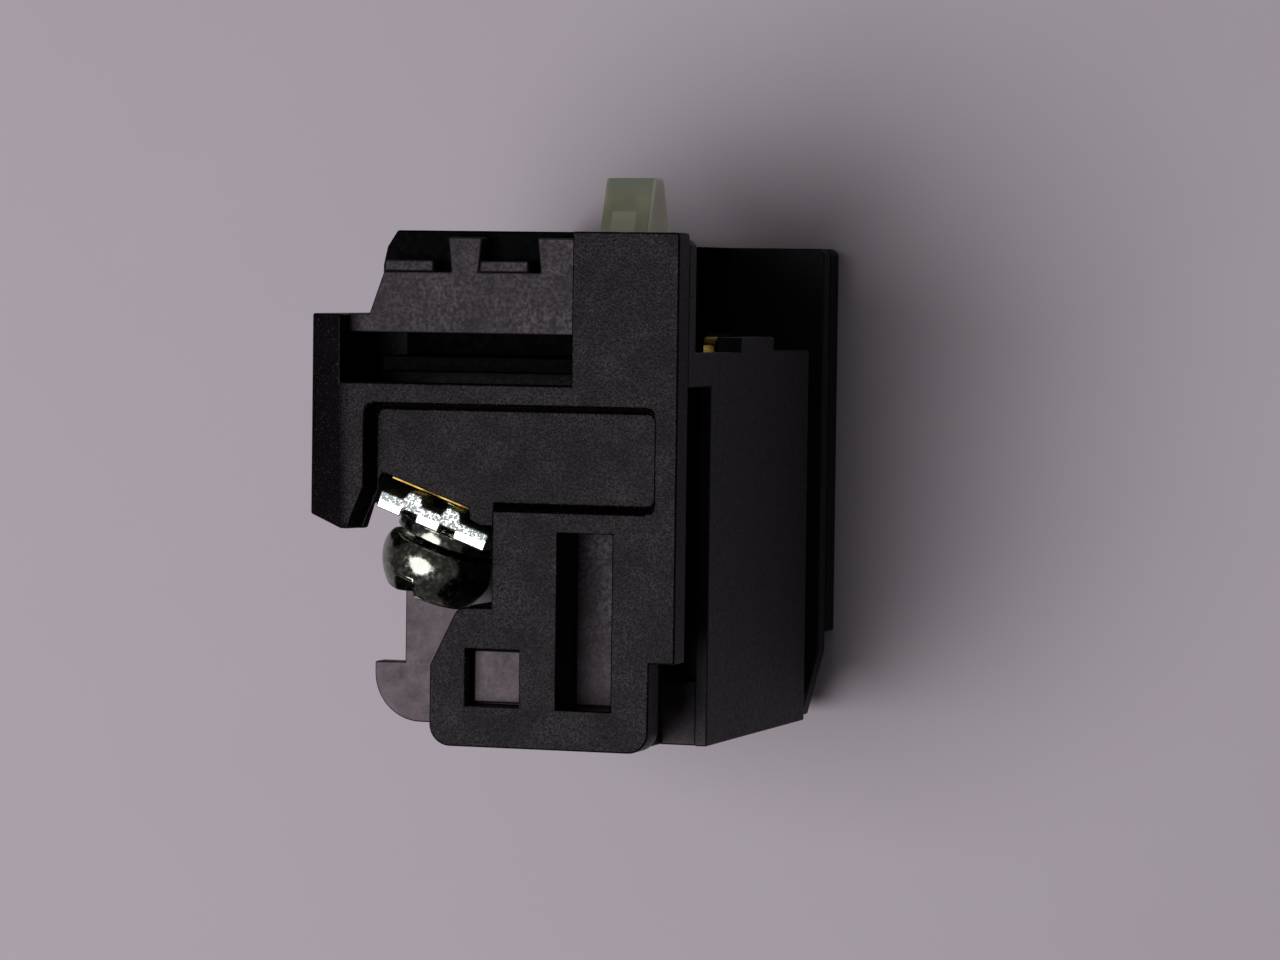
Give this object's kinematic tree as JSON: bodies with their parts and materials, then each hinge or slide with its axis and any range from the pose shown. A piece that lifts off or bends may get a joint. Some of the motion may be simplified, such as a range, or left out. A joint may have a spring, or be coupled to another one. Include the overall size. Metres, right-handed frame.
{
  "type": "push button contact block",
  "caption": "Rear contact block of an industrial push button: sprung wedge plunger, double break bridge contact and tilted screw terminals between two side covers.",
  "frame": {"origin": "centre of the bounding box's far side, z = 0 being the far cover's outer face that the block lies on", "axes": "+Z out of the near cover, +Y the way the plunger stands out, -X towards the screw terminals"},
  "size_m": [0.0238, 0.0344, 0.0335],
  "materials": {
    "black_plastic": "finely textured moulding",
    "smooth_black_plastic": "smooth moulding",
    "grey_plastic": "satin moulding",
    "green_plastic": "translucent moulding, satin",
    "plated_steel": "zinc plated, bright",
    "brass": "pressed strip, sheared edges",
    "silver": "silver alloy contact face",
    "spring_steel": "drawn wire and thin strip"
  },
  "bodies": {
    "block": {"main_housing": "grey_plastic", "guide_frame": "smooth_black_plastic", "near_cover": "black_plastic", "far_cover": "black_plastic", "near_terminal_strip": "brass", "far_terminal_strip": "brass", "near_fixed_tip": "silver", "far_fixed_tip": "silver", "return_spring": "spring_steel"},
    "plunger_body": {"plunger": "green_plastic"},
    "bridge_body": {"contact_bridge": "brass", "bridge_contact_tips": "silver", "spring_saddle": "spring_steel", "contact_spring": "spring_steel"},
    "near_clamp_body": {"near_clamp_plate": "plated_steel", "near_spring_washer": "plated_steel"},
    "near_screw_body": {"near_terminal_screw": "plated_steel"},
    "far_clamp_body": {"far_clamp_plate": "plated_steel", "far_spring_washer": "plated_steel"},
    "far_screw_body": {"far_terminal_screw": "plated_steel"}
  },
  "joints": [
    {"name": "plunger_press", "type": "slide", "parent": "block", "child": "plunger_body", "axis": [0, -1, 0], "range_m": [0, 0.003], "stiffness_N_per_m": 500, "springref_m": -0.003, "deforming": ["return_spring", "contact_spring"]},
    {"name": "bridge_travel", "type": "slide", "parent": "block", "child": "bridge_body", "axis": [0, -1, 0], "range_m": [0, 0.002]},
    {"name": "near_clamp_lift", "type": "slide", "parent": "block", "child": "near_clamp_body", "axis": [-0.342, -0.9397, 0], "range_m": [0, 0.0012]},
    {"name": "near_screw_turn", "type": "hinge", "parent": "near_clamp_body", "child": "near_screw_body", "pos_m": [-0.00331, -0.00265, 0.02935], "axis": [-0.342, -0.9397, 0], "range_deg": [0, 720]},
    {"name": "far_clamp_lift", "type": "slide", "parent": "block", "child": "far_clamp_body", "axis": [-0.342, -0.9397, 0], "range_m": [0, 0.0012]},
    {"name": "far_screw_turn", "type": "hinge", "parent": "far_clamp_body", "child": "far_screw_body", "pos_m": [-0.00331, -0.00265, 0.00415], "axis": [-0.342, -0.9397, 0], "range_deg": [0, 720]}
  ],
  "couplings": [
    {"joint": "bridge_travel", "follows": "plunger_press", "ratio": 0.66667},
    {"joint": "near_screw_turn", "follows": "near_clamp_lift", "rad_per_m": 10472},
    {"joint": "far_screw_turn", "follows": "far_clamp_lift", "rad_per_m": 10472}
  ]
}
